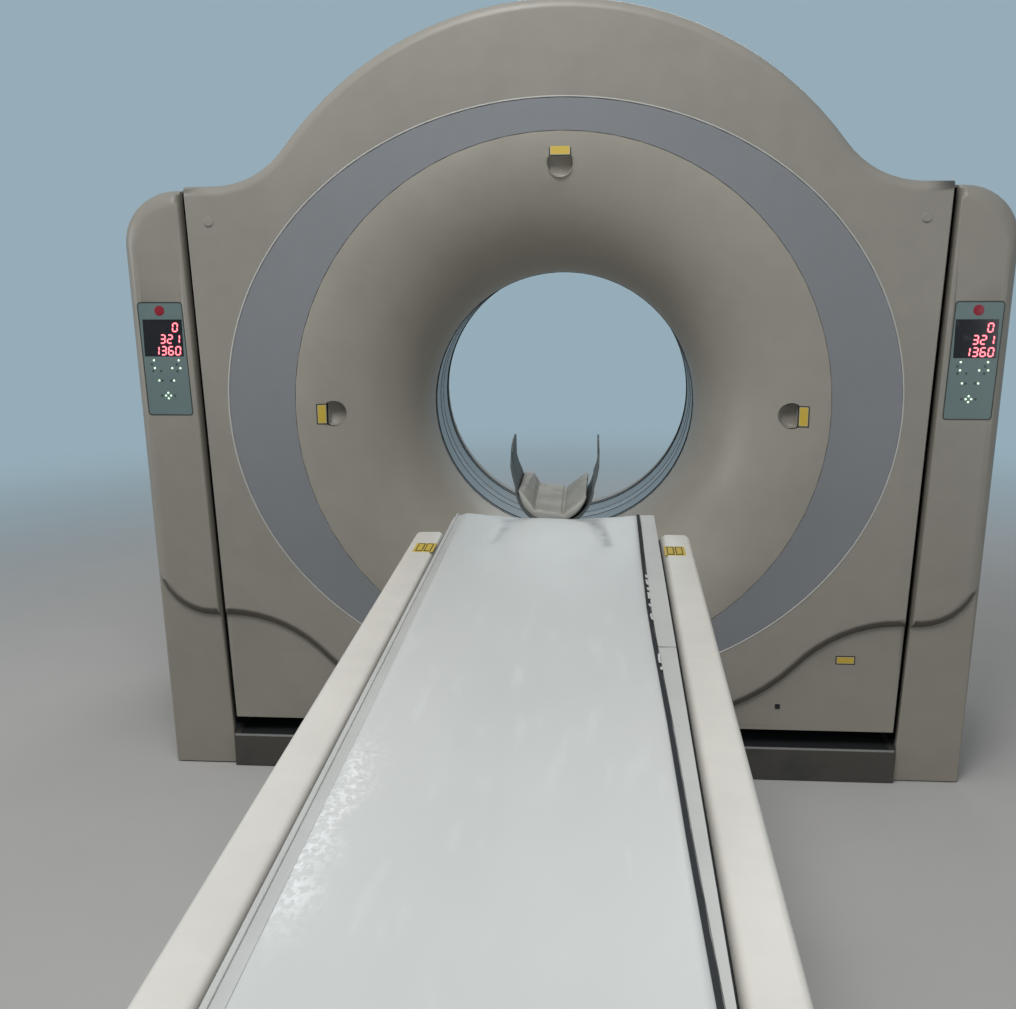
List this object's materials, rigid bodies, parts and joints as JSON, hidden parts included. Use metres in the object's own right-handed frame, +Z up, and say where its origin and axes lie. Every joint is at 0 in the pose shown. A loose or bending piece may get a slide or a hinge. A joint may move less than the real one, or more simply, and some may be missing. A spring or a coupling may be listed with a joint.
{
  "type": "ct scanner",
  "caption": "Hospital tomography scanner: tilting ring gantry between two floor pillars, with a lifting patient table and a sliding cradle.",
  "frame": {"origin": "on the floor, straight below the point where the bore axis crosses the scan plane in the middle of the gantry", "axes": "+X to the right of a person who faces the gantry's front from the table's foot, +Y along the bore from the table to the rear of the gantry, +Z up"},
  "size_m": [2.1562, 3.614, 1.9265],
  "materials": {
    "cover_cream": "satin moulded cover",
    "rail_cream": "satin moulded cover",
    "ring_blue": "satin coloured ring",
    "liner_blue": "gloss liner",
    "window_clear": "thin clear film",
    "panel_blue_grey": "membrane panel",
    "display_black": "dark display window",
    "dark_plastic": "dark plastic",
    "frame_grey": "powder coated steel",
    "plinth_grey": "sheet steel",
    "bright_steel": "ground steel",
    "rotor_aluminium": "machined",
    "motor_dark": "motor paint",
    "unit_grey": "instrument housing",
    "lead_grey": "cast weight",
    "belt_rubber": "ribbed belt",
    "roller_rubber": "rubber coated roller",
    "cradle_carbon": "laminated shell",
    "mat_vinyl": "wipe-clean vinyl",
    "holder_grey": "moulded shell",
    "pad_beige": "padded vinyl",
    "duct_grey": "floor duct"
  },
  "bodies": {
    "base": {"base_frame": "frame_grey", "left_stand": "frame_grey", "right_stand": "frame_grey", "trunnion_bearings": "bright_steel", "tilt_gearmotor": "motor_dark", "left_pillar_cover": "cover_cream", "right_pillar_cover": "cover_cream", "left_control_panel": "panel_blue_grey", "right_control_panel": "panel_blue_grey", "display_windows": "display_black", "plinths": "plinth_grey", "floor_duct": "duct_grey", "table_base": "frame_grey", "outer_columns": "frame_grey", "lower_shroud": "cover_cream"},
    "tilting_gantry": {"tilt_frame": "frame_grey", "trunnions": "bright_steel", "tilt_sector": "bright_steel", "bearing_outer_ring": "bright_steel", "front_cover": "cover_cream", "rear_cover": "cover_cream", "top_cover": "cover_cream", "side_covers": "cover_cream", "ring_trim": "ring_blue", "front_funnel": "cover_cream", "rear_funnel": "cover_cream", "bore_liners": "liner_blue", "scan_window": "window_clear", "laser_windows": "dark_plastic", "drive_motor": "motor_dark", "drive_belt": "belt_rubber", "brush_block": "dark_plastic"},
    "tilt_drive": {"tilt_pinion": "bright_steel"},
    "rotor": {"rotor_drum": "rotor_aluminium", "bearing_inner_ring": "bright_steel", "xray_tube": "unit_grey", "collimator": "lead_grey", "detector_array": "unit_grey", "data_unit": "unit_grey", "hv_generator": "unit_grey", "heat_exchanger": "rotor_aluminium", "counterweight": "lead_grey"},
    "rotor_motor_pulley": {"motor_pulley": "rotor_aluminium"},
    "middle_lift": {"middle_shroud": "rail_cream"},
    "table_top": {"upper_shroud": "cover_cream", "inner_columns": "rotor_aluminium", "table_chassis": "frame_grey", "left_rail": "rail_cream", "right_rail": "rail_cream", "foot_cap": "rail_cream", "cradle_motor": "motor_dark", "cradle_belt": "belt_rubber"},
    "front_roller": {"support_roller": "roller_rubber"},
    "drive_pulley": {"cradle_pulley": "rotor_aluminium"},
    "idler_pulley": {"cradle_idler": "rotor_aluminium"},
    "cradle_body": {"cradle": "cradle_carbon", "cradle_carriage": "unit_grey", "mattress": "mat_vinyl", "head_holder": "holder_grey", "head_pad": "pad_beige"}
  },
  "joints": [
    {"name": "gantry_tilt", "type": "hinge", "parent": "base", "child": "tilting_gantry", "pos_m": [0, 0, 0.942], "axis": [1, 0, 0], "range_deg": [-20, 20]},
    {"name": "tilt_pinion_spin", "type": "hinge", "parent": "base", "child": "tilt_drive", "pos_m": [0.97157, 0, 0.648], "axis": [1, 0, 0], "range_deg": [-121, 121]},
    {"name": "rotor_spin", "type": "hinge", "parent": "tilting_gantry", "child": "rotor", "pos_m": [0, 0.1, 0.942], "axis": [0, 1, 0], "continuous": true},
    {"name": "motor_pulley_spin", "type": "hinge", "parent": "tilting_gantry", "child": "rotor_motor_pulley", "pos_m": [-0.55923, 0.118, 0.27554], "axis": [0, 1, 0], "continuous": true},
    {"name": "table_lift", "type": "slide", "parent": "base", "child": "table_top", "axis": [0, 0, 1], "range_m": [0, 0.15]},
    {"name": "middle_shroud_lift", "type": "slide", "parent": "base", "child": "middle_lift", "axis": [0, 0, 1], "range_m": [-0.0001, 0.0751]},
    {"name": "cradle_slide", "type": "slide", "parent": "table_top", "child": "cradle_body", "axis": [0, 1, 0], "range_m": [-0.13, 1.25]},
    {"name": "roller_spin", "type": "hinge", "parent": "table_top", "child": "front_roller", "pos_m": [0, -0.93, 0.6737], "axis": [1, 0, 0], "range_deg": [-2985, 311]},
    {"name": "drive_pulley_spin", "type": "hinge", "parent": "table_top", "child": "drive_pulley", "pos_m": [0, -3.06, 0.64], "axis": [1, 0, 0], "range_deg": [-3582, 373]},
    {"name": "idler_pulley_spin", "type": "hinge", "parent": "table_top", "child": "idler_pulley", "pos_m": [0, -1.01, 0.64], "axis": [1, 0, 0], "range_deg": [-3582, 373]}
  ],
  "couplings": [
    {"joint": "tilt_pinion_spin", "follows": "gantry_tilt", "ratio": -6},
    {"joint": "motor_pulley_spin", "follows": "rotor_spin", "ratio": 17.111},
    {"joint": "middle_shroud_lift", "follows": "table_lift", "ratio": 0.5},
    {"joint": "roller_spin", "follows": "cradle_slide", "rad_per_m": -41.667},
    {"joint": "drive_pulley_spin", "follows": "cradle_slide", "rad_per_m": -50},
    {"joint": "idler_pulley_spin", "follows": "cradle_slide", "rad_per_m": -50}
  ]
}
